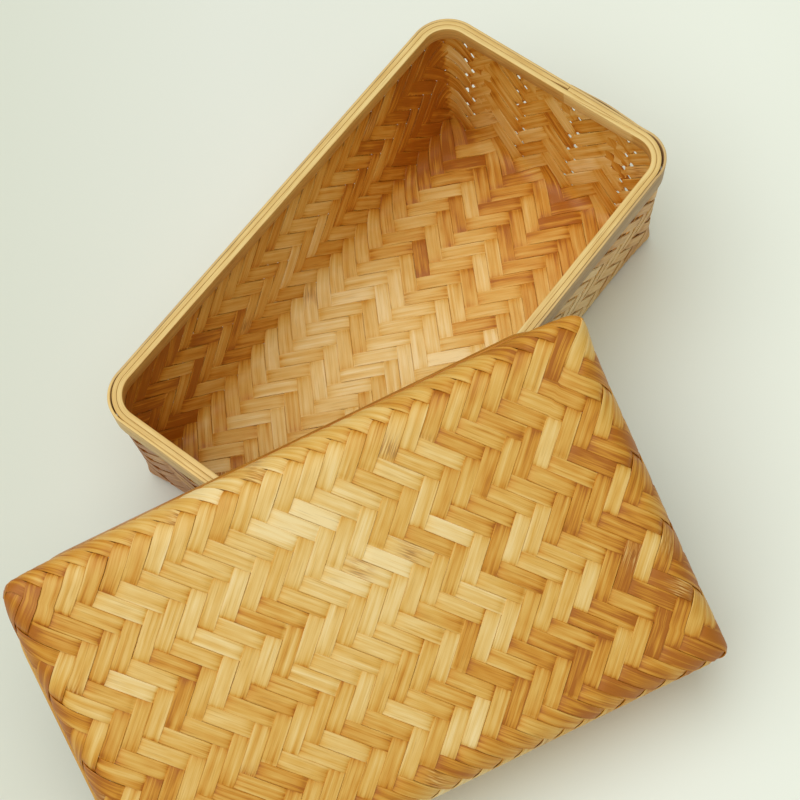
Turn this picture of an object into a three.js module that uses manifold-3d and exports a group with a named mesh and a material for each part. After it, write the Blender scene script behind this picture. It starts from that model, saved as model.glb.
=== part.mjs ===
// Woven bamboo lunch box: an open tray, and a loose lid that leans on the tray's rim.
// Millimetres, +Z up. The origin is the middle of the tray's underside, and X runs along the tray.
// Both halves are baskets of one kind: a folded woven body whose cut edge is held between two bent
// hoops, with a narrow filler strip between the hoops over that edge.
import * as THREE from 'three';
import Module from 'manifold-3d';

// The tray
const TRAY_RIM_LENGTH = 200; // over the outer hoop
const TRAY_RIM_WIDTH = 109; // over the outer hoop
const TRAY_HEIGHT = 60.5; // table to rim top
const TRAY_FOLD_LENGTH = 187; // over the folded bottom edge, between its corner ears
const TRAY_FOLD_WIDTH = 95;
const TRAY_FOLD_RADIUS = 6; // outside of the fold between floor and wall
const TRAY_EAR_REACH = 1.2; // how far a folded corner stands out
const TRAY_EAR_RADIUS = 3;
const TRAY_LENGTH_STRIPS = 23; // crossings along the floor
const TRAY_WIDTH_STRIPS = 12; // crossings over the floor's width

// The lid
const LID_DEPTH = 38; // rim to panel
const LID_FOLD_LENGTH = 206.5;
const LID_FOLD_WIDTH = 125;
const LID_FOLD_RADIUS = 9;
const LID_EAR_REACH = -0.8; // the lid's corners are drawn in
const LID_EAR_RADIUS = 5;
const LID_LENGTH_STRIPS = 27;
const LID_WIDTH_STRIPS = 15;
const LID_FIT = 1.9; // room all round between the tray's rim and the lid's rim

// The woven body
const WEAVE_THICKNESS = 1.4;
const EAR_SHOULDER = 16; // length of side over which the ear runs out
const SOFT_CORNER_HEIGHT = 12; // height at which a wall's corner has lost its ear
const SOFT_CORNER_RADIUS = 6;
const TWILL_RUN = 3; // strips that a strip passes over, and then under, in the weave
const RUN_RELIEF = 0.5; // how far each such run stands out of the floor
const RUN_ROOT = 0.3; // how deep its foot goes into the floor
const RUN_GAP = 0.05; // from a run's foot to the line between strips, in strips
const RUN_EDGE = 0.14; // the same from its top
const RUN_MARGIN = 1.5; // from the floor's outline to the nearest run

// The rim
const RIM_CORNER_RADIUS = 14.5; // outside of the tray's outer hoop
const INNER_HOOP_HEIGHT = 6;
const INNER_HOOP_THICKNESS = 2;
const OUTER_HOOP_HEIGHT = 8;
const OUTER_HOOP_THICKNESS = 0.8;
const HOOP_EDGE = 0.3; // eased edges of the bent strips
const HOOP_SLACK = 2; // how much tighter the outer hoop turns at its two loose corners
const LAP_LENGTH = 34; // overlap of a hoop's two ends, on the +X side
const LAP_MARGIN = 3; // from the end of that side's straight run to the overlap
const LAP_FEATHER = 0.25; // thickness of the covered end
const LAP_PROUD = 0.9; // how far the covering end stands out
const FILLER_HEIGHT = 2;
const FILLER_SUNK = 0.15; // below the hoops' top edges
const FILLER_JOINT = 0.6; // gap between the filler's two ends
const SEAT_GAP = 0.3; // between pieces that touch
const WALL_RUN = 1; // straight stretch of woven wall below the hoops

// How the lid leans: its upper long edge lies over the tray's near corner, its lower edge on the table
const LID_TURN = THREE.MathUtils.degToRad(-26.75); // its length against the tray's
const LID_SHIFT = 4; // its middle from the tray's near corner, along the lid
const CORNER_ROOM = 12.8; // between the tray's near corner and the inside of the lid's panel

// Facets
const CORNER_STEPS = 6; // per quarter turn of a woven corner
const HOOP_STEPS = 8; // per quarter turn of a hoop
const FOLD_STEPS = 4;
const LAP_STEPS = 6;

const HALF_TURN = Math.PI;
const QUARTER_TURN = Math.PI / 2;
const CORNERS = [[1, 1], [-1, 1], [-1, -1], [1, -1]]; // signs of x and y, anticlockwise

const manifold = await Module();
manifold.setup();
const { Manifold, Mesh } = manifold;

const weaveSeat = WEAVE_THICKNESS + 2 * SEAT_GAP;
const rimThickness = OUTER_HOOP_THICKNESS + weaveSeat + INNER_HOOP_THICKNESS;

const tray = basketSizes(TRAY_RIM_LENGTH, TRAY_RIM_WIDTH, RIM_CORNER_RADIUS);
tray.foldLength = TRAY_FOLD_LENGTH;
tray.foldWidth = TRAY_FOLD_WIDTH;
tray.foldRadius = TRAY_FOLD_RADIUS;
tray.ear = TRAY_EAR_REACH;
tray.earRadius = TRAY_EAR_RADIUS;
tray.depth = TRAY_HEIGHT;
tray.lengthStrips = TRAY_LENGTH_STRIPS;
tray.widthStrips = TRAY_WIDTH_STRIPS;
tray.showsInside = true;

const lidGrowth = LID_FIT + rimThickness;
const lid = basketSizes(
  TRAY_RIM_LENGTH + 2 * lidGrowth,
  TRAY_RIM_WIDTH + 2 * lidGrowth,
  RIM_CORNER_RADIUS + lidGrowth,
);
lid.foldLength = LID_FOLD_LENGTH;
lid.foldWidth = LID_FOLD_WIDTH;
lid.foldRadius = LID_FOLD_RADIUS;
lid.ear = LID_EAR_REACH;
lid.earRadius = LID_EAR_RADIUS;
lid.depth = LID_DEPTH;
lid.lengthStrips = LID_LENGTH_STRIPS;
lid.widthStrips = LID_WIDTH_STRIPS;
lid.showsInside = false;

// A basket's sizes at its mouth; wall is the outside of the woven wall, inside the outer hoop.
function basketSizes(rimLength, rimWidth, rimRadius) {
  const inset = OUTER_HOOP_THICKNESS + SEAT_GAP;
  return {
    rimWidth,
    wallHalfLength: rimLength / 2 - inset,
    wallHalfWidth: rimWidth / 2 - inset,
    wallRadius: rimRadius - inset,
  };
}

// One level of a woven body: a rounded rectangle whose corners stand out by ear.
function wovenRing({ halfLength, halfWidth, radius, ear, z }) {
  const points = [];
  for (const [index, [sx, sy]] of CORNERS.entries()) {
    const startAngle = index * QUARTER_TURN;
    const shoulderX = new THREE.Vector3(sx * halfLength, sy * (halfWidth - EAR_SHOULDER), z);
    const shoulderY = new THREE.Vector3(sx * (halfLength - EAR_SHOULDER), sy * halfWidth, z);
    const startsOnX = index % 2 === 0;
    points.push(startsOnX ? shoulderX : shoulderY);
    for (let step = 0; step <= CORNER_STEPS; step += 1) {
      const angle = startAngle + (step / CORNER_STEPS) * QUARTER_TURN;
      const x = sx * (halfLength + ear - radius) + radius * Math.cos(angle);
      const y = sy * (halfWidth + ear - radius) + radius * Math.sin(angle);
      points.push(new THREE.Vector3(x, y, z));
    }
    points.push(startsOnX ? shoulderY : shoulderX);
  }
  return points;
}

// The levels of one face of a woven body, floor to cut edge, set in by inset from the outside.
function wovenFace(sizes, inset) {
  const foldRadius = sizes.foldRadius - inset;
  const foldHalfLength = sizes.foldLength / 2 - inset;
  const foldHalfWidth = sizes.foldWidth / 2 - inset;
  const rings = [];
  for (let step = 0; step <= FOLD_STEPS; step += 1) {
    const angle = (step / FOLD_STEPS) * QUARTER_TURN;
    const pulledIn = foldRadius * (1 - Math.sin(angle));
    rings.push(wovenRing({
      halfLength: foldHalfLength - pulledIn,
      halfWidth: foldHalfWidth - pulledIn,
      radius: sizes.earRadius,
      ear: sizes.ear,
      z: inset + foldRadius * (1 - Math.cos(angle)),
    }));
  }
  const flareTop = sizes.depth - OUTER_HOOP_HEIGHT - WALL_RUN;
  const rise = (SOFT_CORNER_HEIGHT - sizes.foldRadius) / (flareTop - sizes.foldRadius);
  const mouth = {
    halfLength: sizes.wallHalfLength - inset,
    halfWidth: sizes.wallHalfWidth - inset,
    radius: sizes.wallRadius - inset,
    ear: 0,
  };
  rings.push(wovenRing({
    halfLength: THREE.MathUtils.lerp(foldHalfLength, mouth.halfLength, rise),
    halfWidth: THREE.MathUtils.lerp(foldHalfWidth, mouth.halfWidth, rise),
    radius: SOFT_CORNER_RADIUS - inset,
    ear: 0,
    z: SOFT_CORNER_HEIGHT,
  }));
  rings.push(wovenRing({ ...mouth, z: flareTop }));
  rings.push(wovenRing({ ...mouth, z: sizes.depth - FILLER_HEIGHT - SEAT_GAP }));
  return rings;
}

// A place on a basket's floor, counted in strips from its middle along the two slants of the weave.
function onFloor(sizes, rising, falling) {
  const bend = sizes.foldRadius * (1 - QUARTER_TURN / 2);
  const halfLength = (sizes.foldLength - WEAVE_THICKNESS) / 2 - bend;
  const halfWidth = (sizes.foldWidth - WEAVE_THICKNESS) / 2 - bend;
  return {
    x: ((rising + falling) * halfLength) / sizes.lengthStrips,
    y: ((rising - falling) * halfWidth) / sizes.widthStrips,
  };
}

// Whether a place lies well inside the flat of a basket's floor, with its rounded corners.
function clearOfFold(sizes, { x, y }) {
  const cornerX = sizes.foldLength / 2 - sizes.foldRadius - sizes.earRadius;
  const cornerY = sizes.foldWidth / 2 - sizes.foldRadius - sizes.earRadius;
  const pastX = Math.max(0, Math.abs(x) - cornerX);
  const pastY = Math.max(0, Math.abs(y) - cornerY);
  return Math.hypot(pastX, pastY) < sizes.earRadius - RUN_MARGIN;
}

// The corners of a run of one strip over its neighbours, set in by gap from the lines between strips.
function runCorners(sizes, { strip, start, rises }, gap) {
  const sides = [strip - 0.5 + gap, strip + 0.5 - gap];
  const ends = [start + gap, start + TWILL_RUN - gap];
  return sides.flatMap((side) => ends.map((end) => {
    return rises ? onFloor(sizes, side, end) : onFloor(sizes, end, side);
  }));
}

// The runs that show on a basket's floor: a row of one slant, then a row of the other.
function twillRuns(sizes) {
  const reach = (sizes.lengthStrips + sizes.widthStrips) / 2;
  const rows = Math.ceil(reach / TWILL_RUN);
  const runs = [];
  for (let strip = 0.5 - reach; strip < reach; strip += 1) {
    for (let row = -rows; row < rows; row += 1) {
      const rises = (row % 2 === 0) === sizes.showsInside;
      const lead = 0.5 + row * TWILL_RUN;
      runs.push({ strip, start: rises ? strip - lead - TWILL_RUN : strip + lead, rises });
    }
  }
  return runs.filter((run) => {
    return runCorners(sizes, run, RUN_GAP).every((corner) => clearOfFold(sizes, corner));
  });
}

// A run as a low block with sloping sides, standing out of the floor on the face that shows.
function runBlock(sizes, run) {
  const floor = sizes.showsInside ? WEAVE_THICKNESS : 0;
  const out = sizes.showsInside ? 1 : -1;
  const foot = runCorners(sizes, run, RUN_GAP).map(({ x, y }) => [x, y, floor - out * RUN_ROOT]);
  const top = runCorners(sizes, run, RUN_EDGE).map(({ x, y }) => [x, y, floor + out * RUN_RELIEF]);
  return Manifold.hull([...foot, ...top]);
}

// The folded mat as one closed shell, up the outside, over the cut edge and down the inside, with the
// runs of its weave on the floor.
function wovenBody(sizes) {
  const outside = wovenFace(sizes, 0);
  const inside = wovenFace(sizes, WEAVE_THICKNESS);
  const rings = [...outside, ...inside.reverse()];
  const flat = (ring) => ring.map((point) => new THREE.Vector2(point.x, point.y));
  const shell = loft(rings, flat(rings.at(0)), flat(rings.at(-1)));
  return joined(shell, twillRuns(sizes).map((run) => runBlock(sizes, run)));
}

// A solid with blocks joined to it.
function joined(geometry, blocks) {
  const solid = new Manifold(new Mesh({
    numProp: 3,
    vertProperties: new Float32Array(geometry.getAttribute('position').array),
    triVerts: new Uint32Array(geometry.getIndex().array),
  }));
  const { vertProperties, triVerts } = Manifold.union([solid, ...blocks]).getMesh();
  const result = new THREE.BufferGeometry();
  result.setAttribute('position', new THREE.BufferAttribute(vertProperties, 3));
  result.setIndex(new THREE.BufferAttribute(triVerts, 1));
  result.computeVertexNormals();
  return result;
}

// Stations on the +X side at the given places across it; lap is a station's share of the list.
function sideStations(halfLength, places, end) {
  const last = Math.max(1, places.length - 1);
  return places.map((y, index) => ({ x: halfLength, y, nx: 1, ny: 0, end, lap: index / last }));
}

// Stations round a rounded rectangle, each with its outward direction, anticlockwise from the +X side.
function roundMouth({ halfLength, halfWidth, radii, startPlaces, endPlaces }) {
  const corners = CORNERS.flatMap(([sx, sy], index) => {
    const radius = radii[index];
    const stations = [];
    for (let step = 0; step <= HOOP_STEPS; step += 1) {
      const angle = (index + step / HOOP_STEPS) * QUARTER_TURN;
      const nx = Math.cos(angle);
      const ny = Math.sin(angle);
      const x = sx * (halfLength - radius) + radius * nx;
      const y = sy * (halfWidth - radius) + radius * ny;
      stations.push({ x, y, nx, ny, end: 'none', lap: 0 });
    }
    return stations;
  });
  return [
    ...sideStations(halfLength, startPlaces, 'covered'),
    ...corners,
    ...sideStations(halfLength, endPlaces, 'covering'),
  ];
}

// Places across the +X side along a hoop's overlap.
function lapPlaces(sizes) {
  const start = sizes.wallRadius - sizes.wallHalfWidth + LAP_MARGIN;
  return Array.from({ length: LAP_STEPS + 1 }, (_, step) => start + (LAP_LENGTH * step) / LAP_STEPS);
}

// Near and far faces of a hoop at a station, measured away from the weave.
function hoopFaces(station, thickness) {
  const covered = THREE.MathUtils.lerp(LAP_FEATHER, thickness, station.lap);
  if (station.end === 'covered') {
    return { near: 0, far: covered };
  }
  if (station.end === 'covering') {
    return { near: covered + SEAT_GAP, far: thickness + LAP_PROUD * Math.sqrt(station.lap) };
  }
  return { near: 0, far: thickness };
}

// A bent strip's section: near and far faces, foot and top, with eased edges.
function stripSection({ near, far, foot, top }) {
  const edge = Math.min(HOOP_EDGE, (far - near) / 4);
  return [
    [near + edge, foot], [far - edge, foot], [far, foot + edge], [far, top - edge],
    [far - edge, top], [near + edge, top], [near, top - edge], [near, foot + edge],
  ].map(([away, z]) => new THREE.Vector2(away, z));
}

// A strip bent round the mouth; side is 1 where its layers build outwards and -1 inwards.
function bentStrip(stations, side, facesAt, foot, top) {
  const sections = stations.map((station) => stripSection({ ...facesAt(station), foot, top }));
  const rings = sections.map((section, index) => {
    const { x, y, nx, ny } = stations[index];
    return section.map((point) => new THREE.Vector3(
      x + side * point.x * nx,
      y + side * point.x * ny,
      point.y,
    ));
  });
  return loft(rings, sections.at(0), sections.at(-1));
}

function outerHoop(sizes) {
  const radius = sizes.wallRadius + SEAT_GAP;
  const stations = roundMouth({
    halfLength: sizes.wallHalfLength + SEAT_GAP,
    halfWidth: sizes.wallHalfWidth + SEAT_GAP,
    radii: [radius, radius - HOOP_SLACK, radius, radius - HOOP_SLACK],
    startPlaces: lapPlaces(sizes),
    endPlaces: lapPlaces(sizes),
  });
  const facesAt = (station) => hoopFaces(station, OUTER_HOOP_THICKNESS);
  return bentStrip(stations, 1, facesAt, sizes.depth - OUTER_HOOP_HEIGHT, sizes.depth);
}

function innerHoop(sizes) {
  const inset = WEAVE_THICKNESS + SEAT_GAP;
  const stations = roundMouth({
    halfLength: sizes.wallHalfLength - inset,
    halfWidth: sizes.wallHalfWidth - inset,
    radii: CORNERS.map(() => sizes.wallRadius - inset),
    startPlaces: lapPlaces(sizes),
    endPlaces: lapPlaces(sizes),
  });
  const facesAt = (station) => hoopFaces(station, INNER_HOOP_THICKNESS);
  return bentStrip(stations, -1, facesAt, sizes.depth - INNER_HOOP_HEIGHT, sizes.depth);
}

function rimFiller(sizes) {
  const joint = lapPlaces(sizes).at(-1);
  const stations = roundMouth({
    halfLength: sizes.wallHalfLength,
    halfWidth: sizes.wallHalfWidth,
    radii: CORNERS.map(() => sizes.wallRadius),
    startPlaces: [joint],
    endPlaces: [joint - FILLER_JOINT],
  });
  const facesAt = () => ({ near: 0, far: WEAVE_THICKNESS });
  const top = sizes.depth - FILLER_SUNK;
  return bentStrip(stations, -1, facesAt, sizes.depth - FILLER_HEIGHT, top);
}

// A closed solid through rings of equal length, its two ends filled as their flat outlines show.
function loft(rings, firstOutline, lastOutline) {
  const count = rings[0].length;
  const indices = [];
  for (let row = 0; row < rings.length - 1; row += 1) {
    for (let column = 0; column < count; column += 1) {
      const next = (column + 1) % count;
      const a = row * count + column;
      const b = row * count + next;
      indices.push(a, b, b + count, a, b + count, a + count);
    }
  }
  const lastRow = (rings.length - 1) * count;
  for (const [i, j, k] of THREE.ShapeUtils.triangulateShape(firstOutline, [])) {
    indices.push(i, k, j);
  }
  for (const [i, j, k] of THREE.ShapeUtils.triangulateShape(lastOutline, [])) {
    indices.push(lastRow + i, lastRow + j, lastRow + k);
  }
  const geometry = new THREE.BufferGeometry().setFromPoints(rings.flat());
  geometry.setIndex(facesOut(geometry, indices));
  geometry.computeVertexNormals();
  return geometry;
}

// The same triangles, turned over if they enclose a negative volume.
function facesOut(geometry, indices) {
  const place = geometry.getAttribute('position');
  const corner = (index) => new THREE.Vector3().fromBufferAttribute(place, index);
  let volume = 0;
  for (let start = 0; start < indices.length; start += 3) {
    const [a, b, c] = indices.slice(start, start + 3).map(corner);
    volume += a.dot(b.cross(c));
  }
  return volume < 0 ? indices.toReversed() : indices;
}

function bamboo(color, roughness) {
  return new THREE.MeshStandardMaterial({ color, roughness, metalness: 0 });
}

function namedMesh(name, geometry, material) {
  const mesh = new THREE.Mesh(geometry, material);
  mesh.name = name;
  return mesh;
}

// A basket standing on its floor, mouth up.
function basket(name, sizes) {
  const group = new THREE.Group();
  group.add(namedMesh(`${name}_woven_body`, wovenBody(sizes), bamboo(0xc8964c, 0.6)));
  group.add(namedMesh(`${name}_rim_inner_hoop`, innerHoop(sizes), bamboo(0xe6c88c, 0.5)));
  group.add(namedMesh(`${name}_rim_outer_hoop`, outerHoop(sizes), bamboo(0xa8825a, 0.5)));
  group.add(namedMesh(`${name}_rim_filler`, rimFiller(sizes), bamboo(0xd8ac68, 0.6)));
  return group;
}

// The lid, mouth down, leaning: the inner edge of its upper rim lies on the tray's rim.
function leaningLid() {
  const tiltSine = (TRAY_HEIGHT + SEAT_GAP) / (lid.rimWidth - rimThickness);
  const tilt = Math.asin(tiltSine);
  const tiltCosine = Math.cos(tilt);
  const cornerDepth = LID_DEPTH - WEAVE_THICKNESS - CORNER_ROOM;
  const cornerDrop = lid.rimWidth * tiltSine - TRAY_HEIGHT;
  const overhang = (cornerDepth + cornerDrop * tiltCosine) / tiltSine;
  const along = new THREE.Vector3(Math.cos(LID_TURN), Math.sin(LID_TURN), 0);
  const across = new THREE.Vector3(-Math.sin(LID_TURN), Math.cos(LID_TURN), 0);
  const halfRim = lid.rimWidth / 2;

  const upturned = basket('lid', lid);
  upturned.rotation.x = HALF_TURN;
  upturned.position.z = LID_DEPTH;

  const leaning = new THREE.Group();
  leaning.add(upturned);
  leaning.rotation.set(tilt, 0, LID_TURN, 'ZYX');
  leaning.position.set(-TRAY_RIM_LENGTH / 2, -TRAY_RIM_WIDTH / 2, halfRim * tiltSine);
  leaning.position.addScaledVector(along, LID_SHIFT);
  leaning.position.addScaledVector(across, overhang - halfRim * tiltCosine);
  return leaning;
}

const lunchBox = new THREE.Group();
lunchBox.add(basket('tray', tray));
lunchBox.add(leaningLid());

export default lunchBox;
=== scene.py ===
"""Looks of a woven bamboo lunch box: each plaited strip, the bent rim hoops and a soft studio.

Lengths are millimetres and become metres when a mesh is written; the table and the lamps are in
metres. A basket is worked out standing on its floor, mouth up, with x along its length, and is
then moved to its place: the tray stays as it is, and the lid is turned over and leant on the
tray's rim.
"""
import math
from dataclasses import dataclass

import bpy
import numpy as np
from mathutils import Matrix, Vector


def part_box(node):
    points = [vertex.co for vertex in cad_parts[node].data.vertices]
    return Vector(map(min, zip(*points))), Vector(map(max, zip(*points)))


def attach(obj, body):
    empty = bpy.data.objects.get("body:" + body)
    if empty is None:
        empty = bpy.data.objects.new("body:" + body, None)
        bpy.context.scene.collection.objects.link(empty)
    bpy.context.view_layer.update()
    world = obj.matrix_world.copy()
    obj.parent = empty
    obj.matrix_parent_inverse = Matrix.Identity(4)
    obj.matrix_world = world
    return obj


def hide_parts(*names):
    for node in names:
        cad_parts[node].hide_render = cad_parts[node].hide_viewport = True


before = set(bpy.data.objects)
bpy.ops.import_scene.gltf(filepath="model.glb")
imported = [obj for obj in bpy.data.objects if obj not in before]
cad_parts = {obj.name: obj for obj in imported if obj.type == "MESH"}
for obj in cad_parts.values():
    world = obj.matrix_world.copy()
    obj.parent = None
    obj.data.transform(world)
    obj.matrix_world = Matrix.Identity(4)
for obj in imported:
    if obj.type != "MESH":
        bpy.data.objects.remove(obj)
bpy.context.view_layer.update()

MM = 0.001
QUARTER = math.pi / 2  # of a turn
EIGHTH = math.pi / 4

# The rim
HOOP_HEIGHT = 8.0
INNER_HOOP_HEIGHT = 6.0
INNER_HOOP = 2.0  # thickness
OUTER_HOOP = 0.8
WEAVE = 1.4  # thickness of the woven wall
SEAT_GAP = 0.3  # between pieces that touch
HOOP_SLACK = (2.0, 1.3)  # how far the outer hoop's top stands off at its loose corners, +x and -x
RIM_RADIUS = 14.5  # outside of the tray's outer hoop
LID_FIT = 1.9  # room all round between the tray's rim and the lid's
HOOP_HUG = 0.22  # how far the outer hoop's inside closes the gap to the mat
HOOP_SUNK = 0.1  # how far the hoops' tops lie below the basket's depth
HOOP_WAVER = 0.12  # how far they rise and fall
HOOP_WAVER_LENGTH = 5  # millimetres to a step of their drift
HOOP_EASE = 0.3  # radius of a hoop's edges
EASE_LIMIT = 2.2  # least thickness of a strip at the rim, in radii of its edges
LAP_LENGTH = 30.5
LAP_MARGIN = 3.0  # from the lap to the mouth's rounded corner
LAP_FEATHER = 0.04  # thickness at the tips of a hoop
LAP_CLIMB = 0.125  # share of the lap in which the covering end climbs onto the covered one
LAP_SWELL = 0.3  # how far the outer hoop's lapped ends spring apart
LAP_SWELL_POWER = 4  # the higher, the more only in the middle of the lap
LAP_BLUNT = 3  # power by which they keep their thickness towards their tips
FILLER_HEIGHT = 2.0
FILLER_WIDTH = 1.9
FILLER_SUNK = 0.08  # how far its top lies below the basket's depth
FILLER_GAP = 0.22  # more room between it and the outer hoop
FILLER_JOINT = 0.3  # between its ends
FILLER_WAVER = 0.1
FILLER_WAVER_LENGTH = 4
FILLER_EASE = 0.25
FILLER_THINNED = 0.7  # how much narrower its first end is cut
FILLER_THINNED_LENGTH = 10
CUT_BELOW = 5.5  # from the rim's top to the strips' cut ends
LID_ROUNDER = 4.0  # how much rounder the lid's hoops are bent than the tray's
STATION = 2.0  # between sections of a hoop on its straight sides
CORNER_STATIONS = 25  # sections round a corner, with both of its ends

# Tones of the rim, from 0 for deep to 1 for pale
INNER_TONE = 0.6
INNER_FACE_SHADE = 0.4  # painted shade: how much deeper the inner hoop's face is than its top edge
OUTER_EDGE_PALER = 0.4  # than its face: partly the paler cut top, partly painted light on the top against the face in shade
OUTER_END_LIGHT = 0.4  # painted light: how much paler the outer hoop is at -x than along the sides
EDGE_SPAN = 0.3  # height over which a hoop's face turns to its top edge
EDGE_START = 1.2  # where that turn begins, in such spans below the basket's depth
HOOP_DRIFT = 0.12
FILLER_TONE = 0.5
FILLER_DRIFT = 0.15
RIM_DRIFT_LENGTH = 6  # millimetres to a step of the drift

# The folded bodies
TRAY_FOLD = (187.0, 95.0)
LID_FOLD = (209.0, 125.0)
LID_DEPTH = 38.0
LID_TURN = math.radians(-26.75)
LID_SHIFT = 4.0  # along its own length, from the tray's corner
CORNER_ROOM = 12.8  # between the tray's corner under the lid and the lid's panel

rim_low, rim_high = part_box("tray_rim_outer_hoop")
TRAY_RIM = (-2 * rim_low.x / MM, 2 * rim_high.y / MM)
TRAY_HEIGHT = rim_high.z / MM
RIM_THICKNESS = OUTER_HOOP + WEAVE + 2 * SEAT_GAP + INNER_HOOP
LID_GROWTH = LID_FIT + RIM_THICKNESS

# The plaiting
TWILL = 3  # strips that a strip passes over, and then under
STRIP_PITCH = 5.4
STRIP_THICK = 0.42
STRIP_LIFT = 0.3  # from the mat's middle layer to a strip's middle
STRIP_CROWN = 0.1  # how far a strip's middle stands above its edges
STRIP_BELLY = 0.4  # how far it stands out underneath, as a share of the crown
STRIP_EDGE = 0.025  # width of a strip's eased edge, as a share of the pitch
TURN_REACH = 0.5  # reach of a strip's dive from over to under, in strips
SAMPLES = 5  # along a strip, per strip that it crosses
CUT_RAGGED = (-0.15, 0.05)  # how much shorter or longer than most a strip is cut, in strips
SWAY = 0.02  # how far a strip may sway off its line, in strips
SWAY_LENGTH = 3.1  # strips to a radian of its sway
SWAY_STARTS = 6  # radians over which the sways' starts are spread
NECK_DRAWS = 40  # pinholes that a strip may pass
NECK_SHARES = (0.1, 1.0)  # least and most that it narrows at one, as shares of its wall's
NECK_SPAN = 0.26  # how far from a pinhole a strip is still narrow, in strips
NECK_FLAT = 1.3  # the higher, the more of that span is as narrow as at the pinhole
FOLD_REACH = 1.3  # how far from the fold the strips lie looser, in strips
SHARP_ANGLE = math.radians(38)  # edges that are sharper than this stay so

# Where on a wall its own looseness, its painted light and shade and its outside's painted grey set
# in, as shares of its height
LOW_WALL = 0.25
MID_WALL = 0.5
WALL_SHADE_START = 0.6  # how far a wall's painted shade has come at the fold, before smoothing
WALL_LIGHT_START = 0.5
SHADE_GREY_START = 0.2
SHADE_GREY_PACE = 5  # how fast the outside's painted grey comes on above the fold, per wall height

# Tones of the strips, from 0 for deep to 1 for pale
STRIP_TONE = (0.48, 0.08)  # mean and spread over the strips
STRIP_DRIFT = 0.14  # along a strip
FLOAT_DRAWS = 200  # floats that a strip may have
FLOAT_SPREAD = 0.105  # of the floats about their strip's tone
FLOAT_LIMITS = (-0.17, 0.3)  # least and most
FLOAT_END_SHADE = 0.2  # painted shade, with some staining: how much deeper in tone a float is at its ends, where it dives under the next strip
FLOAT_SHADE_POWER = 5  # the higher, the nearer to its ends
KNOT_SHARE = 0.3  # of the strips have a knot
KNOT_REACH = 0.7  # in strips
GRAIN_STEP = 640  # between two strips' starts in the grain, so that none repeats another

# Seeds that are added to a basket's own
FALLING_SEED = 100
INNER_SEED = 31
OUTER_SEED = 37
FILLER_SEED = 7

# Drifts: the least and most of their waves' sizes, angles per step and first angles
DRIFT_SIZES = (0.3, 1.0)
DRIFT_STEPS = (0.03, 0.16)
DRIFT_STARTS = (0, 6.28)

# Bends of the mat
EAR_SPREAD = 7.0  # reach of an ear along the floor
EAR_RISE = 8.0  # and up the wall
EAR_POWER = 6  # the higher, the nearer to the corners the fold tightens
SHADING_STAIN_SPREAD = 11.0  # reach of a corner's painted shade and staining
SHADING_STAIN_RISE = 30.0
SOFT_CORNER = 6.0  # radius of a wall's corner low on the wall
SOFT_RISE = 0.2  # share of the wall's height at which its corner is that soft
PULL_SPAN = 1.2  # half lengths of the floor over which the +y fold's pull grows
PULL_START = 0.4  # how far it has come in the middle, before smoothing

OUT = np.array([[1, 0], [0, 1], [-1, 0], [0, -1]], float)  # walls +x, +y, -x and -y
RUN = np.array([[0, 1], [-1, 0], [0, -1], [1, 0]], float)  # anticlockwise along each


@dataclass
class Basket:
    name: str
    rim: tuple  # length and width over the outer hoop
    rim_radius: float
    fold: tuple  # length and width over the folded edge, between the ears
    depth: float
    strips: tuple  # strips from the middle to the walls, along x and along y
    fold_radius: float
    ear_radius: float  # of the fold and the wall's edge at a bottom corner
    ears: tuple  # how far the bottom corners stand out along x and y: ++, -+, +- and --
    corner_lift: float  # how far a bottom corner is drawn up
    crown: float  # how far the middle of the floor stands up, or down if negative
    pull: tuple  # how much further the +x fold reaches, and the +y fold towards +x
    skew: float  # how far out of square the mouth was bent, as a slope
    taper: float  # how much narrower the mouth is at -x, as a share
    slack: tuple  # how much narrower the strips lie at the top of each wall, as a share
    necks: tuple  # how much a strip narrows at the pinholes of each wall, as a share
    lifts: tuple  # how loosely the strips of each wall lie on each other, as a share
    fold_lift: float  # how much more loosely they lie round the fold
    widths: tuple  # narrowest and widest strip, as shares of the pitch
    fade: tuple  # how much paler the strips are at -x, in the middle and at +x, and so along y: partly painted fall-off of light, sheen and shade, partly tone
    wall_shading: tuple  # painted light and shade: how much paler they are on each wall
    slant_sheen_tones: tuple  # painted sheen: how much paler the rising strips are at -y, in the middle and at +y
    ear_shading_and_stain: tuple  # painted light and shade, with staining: how much paler they are at the bottom corners, in the order of the ears
    shade_grey: float  # how far the outside is painted greyer and pinker for the cool shade and grazing reflection on it, as a share
    place: np.ndarray  # 4 by 4, to the row frame, still in millimetres
    seed: int

    @property
    def fold_half(self):
        """Half sizes of the mat's middle layer at the fold."""
        return np.array(self.fold) / 2 - WEAVE / 2

    @property
    def mouth_half(self):
        """Half sizes of the mat's middle layer between the hoops."""
        return np.array(self.rim) / 2 - OUTER_HOOP - SEAT_GAP - WEAVE / 2

    @property
    def mouth_radius(self):
        return self.rim_radius - OUTER_HOOP - SEAT_GAP - WEAVE / 2

    @property
    def flare(self):
        """Height of the sloping part of the wall, above the fold."""
        return self.depth - HOOP_HEIGHT - 1 - self.fold_radius

    @property
    def strips_per_mm(self):
        """Strips to a millimetre of the wall's height."""
        return float(np.mean(np.array(self.strips) / self.fold_half))


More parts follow.
